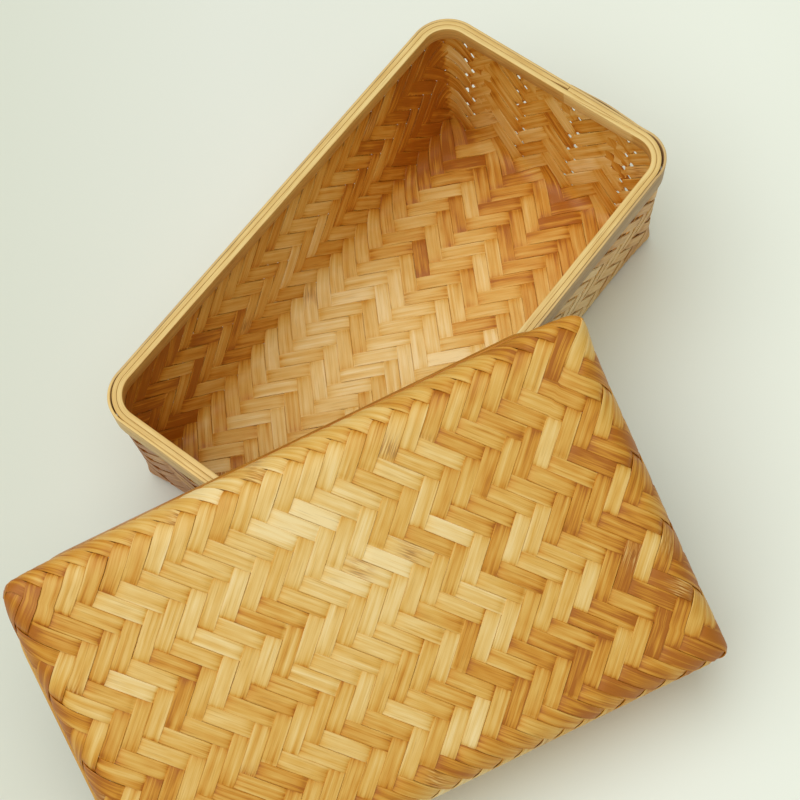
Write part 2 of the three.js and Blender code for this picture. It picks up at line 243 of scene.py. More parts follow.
def leaning():
    """The lid's place: turned over about x, leant until its rim lies on the tray's, and turned."""
    rim_width = TRAY_RIM[1] + 2 * LID_GROWTH
    sine = (TRAY_HEIGHT + SEAT_GAP) / (rim_width - RIM_THICKNESS)
    tilt = math.asin(sine)
    corner_depth = LID_DEPTH - WEAVE - CORNER_ROOM
    corner_drop = rim_width * sine - TRAY_HEIGHT
    overhang = (corner_depth + corner_drop * math.cos(tilt)) / sine
    along = Vector((math.cos(LID_TURN), math.sin(LID_TURN), 0))
    across = Vector((-math.sin(LID_TURN), math.cos(LID_TURN), 0))
    spot = Vector((-TRAY_RIM[0] / 2, -TRAY_RIM[1] / 2, rim_width / 2 * sine))
    spot += along * LID_SHIFT + across * (overhang - rim_width / 2 * math.cos(tilt))
    lean = Matrix.Rotation(LID_TURN, 4, "Z") @ Matrix.Rotation(tilt, 4, "X")
    over = Matrix.Translation((0, 0, LID_DEPTH)) @ Matrix.Rotation(math.pi, 4, "X")
    return np.array(Matrix.Translation(spot) @ lean @ over)


tray = Basket(
    name="tray",
    rim=TRAY_RIM,
    rim_radius=RIM_RADIUS,
    fold=TRAY_FOLD,
    depth=TRAY_HEIGHT,
    strips=(11.5, 6.0),
    fold_radius=6.0,
    ear_radius=3.0,
    ears=((1.2, 1.2), (1.2, 1.2), (1.2, 1.2), (1.2, 1.2)),
    corner_lift=0.8,
    crown=0.3,
    pull=(0.0, 0.0),
    skew=0.024,
    taper=0.0,
    slack=(0.05, 0.05, 0.18, 0.21),
    necks=(0.6, 0.12, 0.1, 0.1),
    lifts=(0.6, 1.0, 1.3, 1.3),
    fold_lift=0.3,
    widths=(0.975, 1.005),
    fade=((-0.13, 0.24, -0.38), (0.0, 0.0, 0.0)),
    wall_shading=(0.36, -0.2, -0.26, 0.3),
    slant_sheen_tones=(0.0, 0.0, 0.0),
    ear_shading_and_stain=(-0.3, -0.5, -0.1, -0.3),
    shade_grey=1.0,
    place=np.eye(4),
    seed=11,
)
lid = Basket(
    name="lid",
    rim=tuple(size + 2 * LID_GROWTH for size in TRAY_RIM),
    rim_radius=RIM_RADIUS + LID_GROWTH + LID_ROUNDER,
    fold=LID_FOLD,
    depth=LID_DEPTH,
    strips=(13.5, 7.5),
    fold_radius=10.5,
    ear_radius=3.5,
    ears=((-1.0, -1.0), (-2.0, -1.2), (1.6, -1.8), (-3.0, -1.3)),
    corner_lift=2.5,
    crown=-0.4,
    pull=(-1.6, 1.1),
    skew=0.0,
    taper=0.02,
    slack=(0.03, 0.03, 0.03, 0.03),
    necks=(0.05, 0.05, 0.05, 0.05),
    lifts=(1.0, 1.0, 1.0, 1.0),
    fold_lift=1.0,
    widths=(0.985, 1.008),
    fade=((-0.09, 0.2, -0.27), (0.03, 0.04, -0.15)),
    wall_shading=(0.0, 0.25, -0.4, -0.2),
    slant_sheen_tones=(0.0, -0.06, -0.22),
    ear_shading_and_stain=(-0.1, -0.3, 0.2, -0.5),
    shade_grey=0.0,
    place=leaning(),
    seed=23,
)


def smooth(x):
    """0 below 0, 1 above 1, and an S between."""
    x = np.clip(x, 0, 1)
    return x * x * (3 - 2 * x)


def round_corner(basket, wall, run):
    """Wall and run of points that may have gone past their wall's end onto the next one."""
    count = np.array(basket.strips)[(wall + 1) % 2]
    past = np.where(np.abs(run) > count, np.sign(run), 0).astype(int)
    turned = (wall + past) % 4
    next_count = np.array(basket.strips)[(turned + 1) % 2]
    moved = past * (np.abs(run) - count - next_count)
    return turned, np.where(past == 0, run, moved)


def out_of_square(basket, points):
    """Points moved by the mouth's skew and taper, which both grow with height."""
    height = np.clip(points[..., 2] / basket.depth, 0, 1)
    moved = np.array(points)
    moved[..., 0] += basket.skew * height * points[..., 1]
    moved[..., 1] *= 1 - basket.taper * height * (0.5 - points[..., 0] / basket.rim[0])
    return moved


def woven_surface(basket, wall, run, beyond):
    """Points and inward normals of the mat's middle layer, and the painted shade and staining at
    its bottom corners.

    A point is run strips along its wall from the wall's middle and beyond strips past its fold.
    Short of the fold the mat lies flat. At the fold it turns through a quarter circle, which
    tightens to an ear at the corners. Past it the mat climbs a wall that opens outwards, and a
    level of the wall is a rectangle whose corners grow rounder with height.
    """
    count = np.array(basket.strips)[(wall + 1) % 2]
    count_off = np.array(basket.strips)[wall % 2]
    share = np.minimum(np.abs(run) / count, 1)
    bend = basket.fold_radius + (basket.ear_radius - basket.fold_radius) * share**EAR_POWER
    saved = bend * (1 - EIGHTH)
    reach = basket.fold_half[wall % 2]
    ahead = np.where(
        beyond < 0, beyond * (reach - saved) / count_off, beyond / basket.strips_per_mm
    )
    angle = np.clip(EIGHTH + ahead / bend, 0, QUARTER)
    inset = bend * (1 - np.sin(angle)) + np.maximum(-EIGHTH * bend - ahead, 0)
    climb = np.maximum(ahead - EIGHTH * bend, 0)
    z = WEAVE / 2 + bend * (1 - np.cos(angle)) + climb

    wall, run = round_corner(basket, wall, run)
    count = np.array(basket.strips)[(wall + 1) % 2]
    rise = np.clip(climb / basket.flare, 0, 1)
    half = basket.fold_half + rise[..., None] * (basket.mouth_half - basket.fold_half)
    radii = [basket.ear_radius, SOFT_CORNER, basket.mouth_radius]
    radius = 1 + (np.interp(rise, [0, SOFT_RISE, 1], radii) - 1) * angle / QUARTER
    half_off = np.take_along_axis(half, (wall % 2)[..., None], -1)[..., 0] - inset
    half_run = np.take_along_axis(half, ((wall + 1) % 2)[..., None], -1)[..., 0]
    flat_side = half_run - saved
    round_side = half_run - radius * (1 - EIGHTH)
    side = flat_side + (round_side - flat_side) * angle / QUARTER
    place = run / count * side
    straight = half_run - radius
    turn = np.clip((np.abs(place) - straight) / radius, 0, EIGHTH)
    along = np.sign(place) * (np.minimum(np.abs(place), straight) + radius * np.sin(turn))
    away = half_off - radius * (1 - np.cos(turn))
    outward = np.cos(turn)[..., None] * OUT[wall]
    outward = outward + (np.sign(place) * np.sin(turn))[..., None] * RUN[wall]
    level = away[..., None] * OUT[wall] + along[..., None] * RUN[wall]

    gap = basket.fold_half - np.abs(level)
    ear = np.exp(-(gap**2).sum(-1) / (2 * EAR_SPREAD**2)) * np.exp(-z / EAR_RISE)
    share = level / basket.fold_half
    stretch = np.clip(share, 0, 1) * basket.pull * (1 - rise[..., None])
    stretch[..., 1] *= smooth(share[..., 0] / PULL_SPAN + PULL_START)
    corner = (level[..., 0] < 0) + 2 * (level[..., 1] < 0)
    level = level + stretch + np.array(basket.ears)[corner] * ear[..., None] * np.sign(level)
    # Painted shade and light at the bottom corners, with staining
    corner_shading_and_stain = np.exp(-(gap**2).sum(-1) / (2 * SHADING_STAIN_SPREAD**2)) * np.exp(-z / SHADING_STAIN_RISE)
    corner_shading_and_stain = np.array(basket.ear_shading_and_stain)[corner] * corner_shading_and_stain
    bulge = np.prod(np.clip(1 - share**2, 0, 1), -1)
    z = z + basket.corner_lift * ear + basket.crown * bulge * np.exp(-z / EAR_RISE)
    points = out_of_square(basket, np.concatenate([level, z[..., None]], -1))
    normals = np.concatenate(
        [-np.sin(angle)[..., None] * outward, np.cos(angle)[..., None]], -1
    )
    return points, normals, corner_shading_and_stain


def strip_ends(basket, family, strip):
    """Walls by which a strip leaves the floor at its far and near ends, and where along it."""
    along, across = basket.strips
    far = min((2 * along - strip, 0), (strip + 2 * across, 3 if family > 0 else 1))
    near = max((-2 * along - strip, 2), (strip - 2 * across, 1 if family > 0 else 3))
    return far, near


def on_walls(basket, family, strip, place):
    """Wall, run and distance beyond the fold of points on a strip.

    Counted in strips, the floor has x = (strip + place) / 2 and y = (strip - place) / 2, with y
    turned over for the second family. Each half of a strip belongs to the wall by which it leaves
    the floor.
    """
    (far_place, far_wall), (near_place, near_wall) = strip_ends(basket, family, strip[0, 0])
    middle = (far_place + near_place) / 2
    wall = np.where(place > middle, far_wall, near_wall)
    floor = np.stack([(strip + place) / 2, family * (strip - place) / 2], -1)
    out = (floor * OUT[wall]).sum(-1)
    run = (floor * RUN[wall]).sum(-1)
    return wall, run, out - np.array(basket.strips)[wall % 2]


def weave_rows(basket, family, strip, place):
    """Count of points across the rows of floats, and whether their strip leads in those rows.

    Three strips over and three under, moved on by one from strip to strip, makes rows of floats.
    The rows run along the floor and the long walls, and up the short walls.
    """
    strip, place = np.broadcast_arrays(strip, place)
    wall, run, beyond = on_walls(basket, family, strip, place)
    anticlockwise = (wall % 2 == 1) == (family > 0)
    turned, moved = round_corner(basket, wall, run)
    long_wall = turned % 2 == 1
    row = np.where(long_wall, basket.strips[1] + beyond, moved) * np.where(turned < 2, 2, -2)
    leads = anticlockwise == long_wall
    on_floor = beyond < 0
    row = np.where(on_floor, family * (strip - place), row)
    return row, np.where(on_floor, family > 0, leads)


def lies_inside(basket, family, strip, place):
    """+1 where a strip passes inside the strip that it crosses there, and -1 where outside."""
    row, leads = weave_rows(basket, family, strip, place)
    inside = np.mod(np.round(row) - 1, 2 * TWILL) < TWILL
    return np.where(inside == leads, 1.0, -1.0)


def crossing_shift(basket):
    """0 where strips lie on whole counts from the middle, and 0.5 where they lie between."""
    return (sum(basket.strips) + 0.5) % 1


def weave_height(basket, family, strip, place):
    """Height of a strip over the mat's middle layer: level in its floats, an S where it dives."""
    low = np.floor(place - crossing_shift(basket)) + crossing_shift(basket)
    before = lies_inside(basket, family, strip, low)
    after = lies_inside(basket, family, strip, low + 1)
    dive = smooth((place - low - 0.5 + TURN_REACH) / (2 * TURN_REACH))
    return STRIP_LIFT * (before + (after - before) * dive)


def strip_mesh(basket, family, strip, rng):
    """One strip as a grid: places along it by eight points round its flat, crowned section."""
    (far_place, _), (near_place, _) = strip_ends(basket, family, strip)
    bent = basket.fold_radius * (1 - EIGHTH) + WEAVE / 2
    wall_strips = (basket.depth - CUT_BELOW - bent) * basket.strips_per_mm
    cuts = rng.uniform(*CUT_RAGGED, 2)
    first = near_place - 2 * (wall_strips + cuts[0])
    last = far_place + 2 * (wall_strips + cuts[1])
    place = np.arange(math.ceil(first * SAMPLES), math.floor(last * SAMPLES) + 1) / SAMPLES
    place = place[:, None]

    wide = rng.uniform(*basket.widths) * 0.5
    sway, sway_start = rng.uniform(0.0, SWAY), rng.uniform(0, SWAY_STARTS)
    edge = wide - STRIP_EDGE
    climbed = np.maximum(place - far_place, near_place - place) / (2 * wall_strips)
    centre = np.full_like(place, float(strip))
    row = weave_rows(basket, family, centre, place)[0]
    from_hole = np.abs(np.mod(row - 0.5, 2 * TWILL) - TWILL)
    wall, run, beyond = on_walls(basket, family, centre, place)
    wall = round_corner(basket, wall, run)[0]
    hole = np.floor(row / (2 * TWILL)).astype(int)
    neck = rng.uniform(*NECK_SHARES, NECK_DRAWS)[hole % NECK_DRAWS]
    neck = np.array(basket.necks)[wall] * neck
    neck = neck * smooth(NECK_FLAT - from_hole / NECK_SPAN) * smooth(climbed / LOW_WALL)
    slack = (1 - np.array(basket.slack)[wall] * smooth(climbed / MID_WALL)) * (1 - neck)
    flat = np.array([[-edge, -wide, -edge, 0, edge, wide, edge, 0]])
    across = slack * flat
    up = np.array([[-1, 0, 1, 1, 1, 0, -1, -1]]) * STRIP_THICK / 2
    up = up + np.array([[0, 0, 0, 1, 0, 0, 0, -STRIP_BELLY]]) * STRIP_CROWN
    middle = strip + sway * np.sin(place / SWAY_LENGTH + sway_start)
    loose = 1 + (np.array(basket.lifts)[wall] - 1) * smooth(climbed / LOW_WALL)
    loose = loose + basket.fold_lift * np.exp(-((beyond / FOLD_REACH) ** 2))
    height = weave_height(basket, family, centre, place) * loose

    ring = np.broadcast_to(middle + across, (len(place), 8))
    places = np.broadcast_to(place, ring.shape)
    wall, run, beyond = on_walls(basket, family, ring, places)
    points, normals, corner_shading_and_stain = woven_surface(basket, wall, run, beyond)
    points = points + normals * (height + up)[..., None]
    width_mm = np.broadcast_to(flat * STRIP_PITCH, ring.shape)
    length_mm = np.broadcast_to(place * STRIP_PITCH, ring.shape)
    turned = round_corner(basket, wall, run)[0]
    # Painted light and shade by wall; the painted shade, with staining, spreads a little onto the
    # floor by the fold
    shading_and_stain = np.array(basket.wall_shading)[turned]
    deeper = np.minimum(shading_and_stain, 0) * smooth(climbed / MID_WALL + WALL_SHADE_START)
    paler = np.maximum(shading_and_stain, 0) * smooth(climbed / LOW_WALL + WALL_LIGHT_START)
    shading_and_stain = deeper + paler + corner_shading_and_stain
    # The mat's outside, painted greyer for the shade and reflection on it
    outside = basket.shade_grey * (up[:1] < 0) * smooth(climbed * SHADE_GREY_PACE + SHADE_GREY_START)
    return points, length_mm, width_mm, row, shading_and_stain, outside


def drift(rng, place, waves=4):
    """A slow seeded wander about 0, the sum of a few sines."""
    sizes = rng.uniform(*DRIFT_SIZES, waves)
    steps = rng.uniform(*DRIFT_STEPS, waves)
    starts = rng.uniform(*DRIFT_STARTS, waves)
    return (sizes * np.sin(place[..., None] * steps + starts)).sum(-1) / waves


def ring_faces(rows, ring, first):
    """Quads of a closed tube of rows sections, and the two end faces."""
    row = np.arange(rows - 1)[:, None] * ring
    column = np.arange(ring)[None, :]
    following = (column + 1) % ring
    quads = [row + column, row + ring + column, row + ring + following, row + following]
    quads = np.stack(quads, -1).reshape(-1, 4) + first
    near = first + np.arange(ring)
    far = first + (rows - 1) * ring + np.arange(ring)[::-1]
    return quads, near, far


def add_object(name, data):
    """A new object in the scene that shows data."""
    thing = bpy.data.objects.new(name, data)
    bpy.context.scene.collection.objects.link(thing)
    return thing


def build_mesh(name, parts, place):
    """A mesh from tubes: grids of points, each with its run, breadth, tone, knots and painted
    shade grey.
    """
    points, quads, ends, maps = [], [], [], []
    marks = {"tone": [], "knot": [], "shade_grey": []}
    first = 0
    for grid, length, breadth, *values in parts:
        rows, ring = grid.shape[:2]
        faces, near, far = ring_faces(rows, ring, first)
        points.append(grid.reshape(-1, 3))
        quads.append(faces)
        ends += [near, far]
        maps.append(np.stack([length, breadth], -1).reshape(-1, 2))
        for mark, value in zip(marks.values(), values):
            mark.append(np.broadcast_to(value, (rows, ring)).ravel())
        first += rows * ring
    points = np.concatenate(points) @ place[:3, :3].T + place[:3, 3]
    quads = np.concatenate(quads)
    corners = np.concatenate([quads.ravel(), *ends])
    sizes = np.concatenate([np.full(len(quads), 4), [len(end) for end in ends]])
    starts = np.concatenate([[0], np.cumsum(sizes)[:-1]])

    mesh = bpy.data.meshes.new(name)
    mesh.vertices.add(len(points))
    mesh.vertices.foreach_set("co", (points * MM).astype(np.float32).ravel())
    mesh.loops.add(len(corners))
    mesh.loops.foreach_set("vertex_index", corners.astype(np.int32))
    mesh.polygons.add(len(sizes))
    mesh.polygons.foreach_set("loop_start", starts.astype(np.int32))
    mesh.update(calc_edges=True)
    grain = mesh.uv_layers.new(name="grain")
    grain.uv.foreach_set("vector", np.concatenate(maps)[corners].astype(np.float32).ravel())
    for key, values in marks.items():
        attribute = mesh.attributes.new(key, "FLOAT", "POINT")
        attribute.data.foreach_set("value", np.concatenate(values).astype(np.float32))
    mesh.polygons.foreach_set("use_smooth", np.ones(len(sizes), bool))
    mesh.set_sharp_from_angle(angle=SHARP_ANGLE)
    mesh.validate()
    return add_object(name, mesh)


def woven_strips(basket, family, name):
    """All strips of one slant, each with its own width, tones, knots and wander; the tones carry
    painted light and shade.
    """
    rng = np.random.default_rng(basket.seed + FALLING_SEED * (family > 0))
    last = sum(basket.strips) - 0.5
    parts = []
    for index, strip in enumerate(np.arange(-last, last + 1)):
        points, length, breadth, row, shading_and_stain, outside = strip_mesh(basket, family, strip, rng)
        place = length / STRIP_PITCH
        float_of = np.floor((row - 0.5) / TWILL).astype(int)
        own = np.clip(rng.normal(0, FLOAT_SPREAD, FLOAT_DRAWS), *FLOAT_LIMITS)
        own = own[float_of % FLOAT_DRAWS]
        spot = np.stack([strip + place, family * (strip - place)], -1) / 2 / basket.strips
        # Partly painted fall-off of light, sheen and shade across the basket, partly tone
        sloped_tone = sum(np.interp(spot[..., axis], (-1, 0, 1), basket.fade[axis]) for axis in (0, 1))
        tone = rng.normal(*STRIP_TONE) + own + STRIP_DRIFT * drift(rng, place)
        # Painted sheen: the rising strips toned apart from the falling ones
        painted_sheen = np.interp(spot[..., 1], (-1, 0, 1), basket.slant_sheen_tones) * (family < 0)
        # Painted shade, with some staining, at the ends of each float
        end = np.abs(2 * np.mod((row - 0.5) / TWILL, 1) - 1)
        tone = tone + sloped_tone + shading_and_stain + painted_sheen - FLOAT_END_SHADE * end**FLOAT_SHADE_POWER
        tone = np.clip(tone, 0, 1)
        node = rng.uniform(place.min(), place.max())
        knot = np.exp(-(((place - node) / KNOT_REACH) ** 2)) * (rng.uniform() < KNOT_SHARE)
        parts.append((points, length + GRAIN_STEP * index, breadth, tone, knot, outside))
    return build_mesh(name, parts, basket.place)


def mouth_path(half, radius, start, end):
    """Stations round a rounded rectangle, anticlockwise from start to end on its +x side.

    Gives each station's point, its outward direction and its length along the path.
    """
    points, outs = [], []

    def side(a, b, out):
        steps = max(2, int(np.linalg.norm(np.subtract(b, a)) / STATION))
        share = np.linspace(0, 1, steps, endpoint=False)[:, None]
        points.append(np.array(a) + share * (np.array(b) - np.array(a)))
        outs.append(np.broadcast_to(out, (steps, 2)))

    corner_ends = [(half[0], start)]
    for corner, (sx, sy) in enumerate(((1, 1), (-1, 1), (-1, -1), (1, -1))):
        centre = np.array([sx * (half[0] - radius), sy * (half[1] - radius)])
        angle = np.linspace(corner, corner + 1, CORNER_STATIONS) * QUARTER
        out = np.stack([np.cos(angle), np.sin(angle)], -1)
        arc = centre + radius * out
        side(corner_ends[-1], arc[0], OUT[corner])
        points.append(arc[:-1])
        outs.append(out[:-1])
        corner_ends.append(tuple(arc[-1]))
    side(corner_ends[-1], (half[0], end), OUT[0])
    points.append(np.array([[half[0], end]]))
    outs.append(OUT[:1])
    points, outs = np.concatenate(points), np.concatenate(outs)
    steps = np.linalg.norm(np.diff(points, axis=0), axis=1)
    return points, outs, np.concatenate([[0], np.cumsum(steps)])


def strip_section(near, far, foot, top, ease):
    """A rounded box section at each station: four eased edges of three points each."""
    turn = np.array([0, 0.5, 1]) * QUARTER
    ease = np.minimum(ease, (far - near) / EASE_LIMIT)
    away, height = [], []
    for quarter, (edge_away, edge_height, sx, sy) in enumerate(
        ((far, foot, 1, -1), (far, top, 1, 1), (near, top, -1, 1), (near, foot, -1, -1))
    ):
        angle = turn + (quarter - 1) * QUARTER
        away.append((edge_away - sx * ease)[:, None] + ease[:, None] * np.cos(angle))
        height.append((edge_height - sy * ease)[:, None] + ease[:, None] * np.sin(angle))
    return np.concatenate(away, 1), np.concatenate(height, 1)


def bent_strip(path, side, near, far, foot, top, ease):
    """A strip's section carried round the mouth; side is 1 where its layers build outwards."""
    points, outs, length = path
    ones = np.ones(len(points))
    away, height = strip_section(near * ones, far * ones, foot * ones, top * ones, ease * ones)
    if side < 0:
        away, height = away[:, ::-1], height[:, ::-1]
    level = points[:, None, :] + side * away[..., None] * outs[:, None, :]
    grid = np.concatenate([level, height[..., None]], -1)
    around = np.linalg.norm(np.diff(grid, axis=1, prepend=grid[:, :1]), axis=2).cumsum(1)
    return grid, np.broadcast_to(length[:, None], around.shape), around


def lap_shares(path):
    """How far along the covered and the covering end of a lap each station lies, from 0 to 1."""
    length = path[2]
    covered = np.clip(length / LAP_LENGTH, 0, 1)
    covering = np.clip((length - length[-1]) / LAP_LENGTH + 1, 0, 1)
    return covered, covering


def hoop(basket, name, inner, seed, shade):
    """A bent hoop: its ends thin out in a lap, and the outer hoop's spring a little apart."""
    rng = np.random.default_rng(basket.seed + seed)
    inset = OUTER_HOOP + (2 * SEAT_GAP + WEAVE if inner else 0)
    half = np.array(basket.rim) / 2 - inset
    wall_radius = basket.rim_radius - OUTER_HOOP - SEAT_GAP
    wall_half = basket.rim[1] / 2 - OUTER_HOOP - SEAT_GAP
    lap = wall_radius - wall_half + LAP_MARGIN
    path = mouth_path(half, basket.rim_radius - inset, lap, lap + LAP_LENGTH)
    covered, covering = lap_shares(path)
    thick = INNER_HOOP if inner else OUTER_HOOP
    blunt = 1 if inner else LAP_BLUNT
    under = LAP_FEATHER + (thick - LAP_FEATHER) * (1 - (1 - covered) ** blunt)
    below = LAP_FEATHER + (thick - LAP_FEATHER) * (1 - (1 - covering) ** blunt)
    above = LAP_FEATHER + (thick - LAP_FEATHER) * (1 - covering**blunt)
    swell = (0 if inner else LAP_SWELL) * np.sin(math.pi * covering) ** LAP_SWELL_POWER
    near = (below + swell) * smooth(covering / LAP_CLIMB)
    far = np.where(covering > 0, near + above, under)
    near = near - (0 if inner else HOOP_HUG) * (covering == 0)
    waver = HOOP_WAVER * drift(rng, path[2] / HOOP_WAVER_LENGTH)
    height = INNER_HOOP_HEIGHT if inner else HOOP_HEIGHT
    foot, top = basket.depth - height, basket.depth + waver - HOOP_SUNK
    side = -1 if inner else 1
    grid, length, around = bent_strip(path, side, near, far, foot, top, HOOP_EASE)
    if not inner:
        out = path[1]
        loose = np.where(out[:, 0] > 0, *HOOP_SLACK) * (np.abs(out).sum(1) - 1) * (out.prod(1) < 0)
        lean = smooth((grid[..., 2] - foot) / height)
        grid[..., :2] += (loose[:, None] * lean)[..., None] * out[:, None, :]
    edge = smooth((grid[..., 2] - basket.depth) / EDGE_SPAN + EDGE_START)
    tone = shade + HOOP_DRIFT * drift(rng, length / RIM_DRIFT_LENGTH)
    if inner:
        # Painted shade on the inner hoop's face, left off the covering end of its lap
        tone = tone - INNER_FACE_SHADE * (1 - edge) * (covering == 0)[:, None]
    else:
        # Partly the paler cut top, partly painted light on it
        tone = tone + OUTER_EDGE_PALER * edge
        # Painted light on the outer hoop's -x side
        tone = tone + OUTER_END_LIGHT * np.maximum(-path[1][:, :1], 0)
    part = (out_of_square(basket, grid), length, around, tone, 0.0, 0.0)
    return build_mesh(name, [part], basket.place)


def filler(basket, name, shade):
    """The narrow strip that lies between the hoops over the mat's cut edge."""
    rng = np.random.default_rng(basket.seed + FILLER_SEED)
    inset = OUTER_HOOP + SEAT_GAP
    half = np.array(basket.rim) / 2 - inset
    radius = basket.rim_radius - inset
    joint = radius - half[1] + LAP_MARGIN + LAP_LENGTH
    path = mouth_path(half, radius, joint, joint - FILLER_JOINT)
    waver = FILLER_WAVER * drift(rng, path[2] / FILLER_WAVER_LENGTH)
    top = basket.depth - FILLER_SUNK + waver
    near = (WEAVE - FILLER_WIDTH) / 2 + FILLER_GAP
    thinned = FILLER_THINNED * smooth(1 - path[2] / FILLER_THINNED_LENGTH)
    far = (WEAVE + FILLER_WIDTH) / 2 - thinned
    foot = basket.depth - FILLER_HEIGHT
    grid, length, around = bent_strip(path, -1, near, far, foot, top, FILLER_EASE)
    tone = shade + FILLER_DRIFT * drift(rng, length / RIM_DRIFT_LENGTH)
    part = (out_of_square(basket, grid), length, around, tone, 0.0, 0.0)
    return build_mesh(name, [part], basket.place)


class Nodes:
    """Short names for making a material's nodes and joining them."""

    def __init__(self, name):
        self.material = bpy.data.materials.new(name)
        self.material.use_nodes = True
        self.tree = self.material.node_tree
        self.tree.nodes.clear()

    def add(self, kind, inputs=None, **settings):
        node = self.tree.nodes.new("ShaderNode" + kind)
        for key, value in settings.items():
            setattr(node, key, value)
        for key, value in (inputs or {}).items():
            self.feed(node.inputs[key], value)
        return node

    def feed(self, socket, value):
        """Joins a socket to another node's output, or sets it to a constant."""
        if isinstance(value, bpy.types.NodeSocket):
            self.tree.links.new(value, socket)
        else:
            socket.default_value = value

    def math(self, operation, a, b, clamp=False):
        return self.add("Math", {0: a, 1: b}, operation=operation, use_clamp=clamp).outputs[0]

    def mix(self, blend, share, a, b):
        node = self.add("Mix", data_type="RGBA", blend_type=blend)
        for key, value in (("Factor_Float", share), ("A_Color", a), ("B_Color", b)):
            self.feed(next(s for s in node.inputs if s.identifier == key), value)
        return next(s for s in node.outputs if s.identifier == "Result_Color")

    def span(self, value, low=0.0, high=1.0, to_low=0.0, to_high=1.0):
        """A value moved from the span low to high onto the span to_low to to_high."""
        ends = {"From Min": low, "From Max": high, "To Min": to_low, "To Max": to_high}
        return self.add("MapRange", {"Value": value, **ends}).outputs["Result"]

    def ramp(self, share, stops):
        node = self.add("ValToRGB", {"Fac": share})
        elements = node.color_ramp.elements
        for index, (place, colour) in enumerate(stops):
            element = elements[index] if index < 2 else elements.new(place)
            element.position = place
            element.color = colour
        return node.outputs["Color"]


def srgb(red, green, blue):
    """A colour given as it looks on a screen, from 0 to 255, made linear."""
    share = np.array([red, green, blue]) / 255
    linear = np.where(share <= 0.04045, share / 12.92, ((share + 0.055) / 1.055) ** 2.4)
    return (*linear.tolist(), 1.0)


STRIP_TONES = (
    (0.0, srgb(174, 100, 15)),
    (0.2, srgb(208, 141, 42)),
    (0.45, srgb(224, 174, 86)),
    (0.7, srgb(235, 196, 124)),
    (1.0, srgb(246, 218, 164)),
)
RIM_TONES = (
    (0.0, srgb(186, 130, 60)),
    (0.35, srgb(214, 172, 100)),
    (0.65, srgb(232, 199, 134)),
    (1.0, srgb(244, 220, 166)),
)
SKIN_TONES = (
    (0.0, srgb(138, 104, 66)),
    (0.5, srgb(178, 144, 104)),
    (1.0, srgb(232, 196, 128)),
)
# A greyer, pinker bamboo painted for the cool shade and grazing reflection on the tray's outside
SHADE_GREY_TONES = (
    (0.0, srgb(180, 130, 86)),
    (0.5, srgb(222, 174, 122)),
    (1.0, srgb(242, 204, 154)),
)
SHADE_GREY_DEPTH = 0.6
FRAY_TONES = (
    (0.38, srgb(132, 72, 22)),
    (0.5, srgb(200, 136, 56)),
    (0.62, srgb(238, 206, 140)),
)
KNOT_DEPTH = 0.6
PORE_TONES = ((0.3, (0.25, 0.15, 0.06, 1)), (0.42, (1, 1, 1, 1)))
PORE_DEPTH = 0.2
FINE_DEPTH = 0.45  # how far fine fibres and patches move the tone
PATCH_DEPTH = 0.3
GAP_SHADE = (2.4, 2.65)  # from a strip's middle to where the painted shade of the gap at its edge begins and is darkest
GAP_SHADE_TONE = srgb(66, 40, 24)
GAP_SHADE_DEPTH = 0.85
ROUGHNESS = (0.56, 0.38)  # between fibres and on them


def bamboo(name, tones, streaks):
    """Split bamboo: a tone per float, streaks and fibres, scarred knots, a soft sheen, and on the
    outside a painted grey and painted shade at the strips' edges.
    """
    n = Nodes(name)
    run = n.add("UVMap", uv_map="grain").outputs["UV"]
    tone = n.add("Attribute", attribute_name="tone").outputs["Fac"]
    knot = n.add("Attribute", attribute_name="knot").outputs["Fac"]
    shade_grey = n.add("Attribute", attribute_name="shade_grey").outputs["Fac"]

    def fibres(along, across, detail):
        scaled = n.add("Mapping", {"Vector": run, "Scale": (along, across, 1)}).outputs["Vector"]
        return n.add("TexNoise", {"Vector": scaled, "Scale": 1.0, "Detail": detail}).outputs["Fac"]

    def centred(value, size):
        return n.add(
            "Math", {0: value, 1: size, 2: -size / 2}, operation="MULTIPLY_ADD"
        ).outputs[0]

    fine = fibres(along=0.07, across=2.4, detail=3.0)
    broad = fibres(along=0.03, across=0.6, detail=2.0)
    patch = fibres(along=0.11, across=0.25, detail=1.0)
    scar = fibres(along=0.16, across=2.2, detail=2.0)
    shade = n.math("ADD", tone, centred(broad, streaks))
    shade = n.math("ADD", shade, centred(fine, FINE_DEPTH))
    shade = n.math("ADD", shade, centred(patch, PATCH_DEPTH), clamp=True)
    colour = n.ramp(shade, tones)
    colour = n.mix("MULTIPLY", PORE_DEPTH, colour, n.ramp(fine, PORE_TONES))
    knotted = n.math("MULTIPLY", knot, KNOT_DEPTH)
    colour = n.mix("MIX", knotted, colour, n.ramp(scar, FRAY_TONES))
    # Painted shade and reflection: the outside turned greyer
    greyed = n.math("MULTIPLY", shade_grey, SHADE_GREY_DEPTH)
    colour = n.mix("MIX", greyed, colour, n.ramp(shade, SHADE_GREY_TONES))
    # Painted shade of the gaps between strips, along each strip's edges on the outside
    breadth = n.math("ABSOLUTE", n.add("SeparateXYZ", {"Vector": run}).outputs["Y"], 0.0)
    gap_shade = n.math("MULTIPLY", n.span(breadth, *GAP_SHADE), shade_grey)
    colour = n.mix("MIX", n.math("MULTIPLY", gap_shade, GAP_SHADE_DEPTH), colour, GAP_SHADE_TONE)
    rough = n.span(fine, to_low=ROUGHNESS[0], to_high=ROUGHNESS[1])
    bump = n.add("Bump", {"Height": fine, "Strength": 0.3, "Distance": 0.0001})
    shader = n.add(
        "BsdfPrincipled",
        {
            "Base Color": colour,
            "Roughness": rough,
            "Normal": bump.outputs["Normal"],
            "Specular IOR Level": 0.42,
        },
    )
    n.add("OutputMaterial", {"Surface": shader.outputs["BSDF"]})
    return n.material


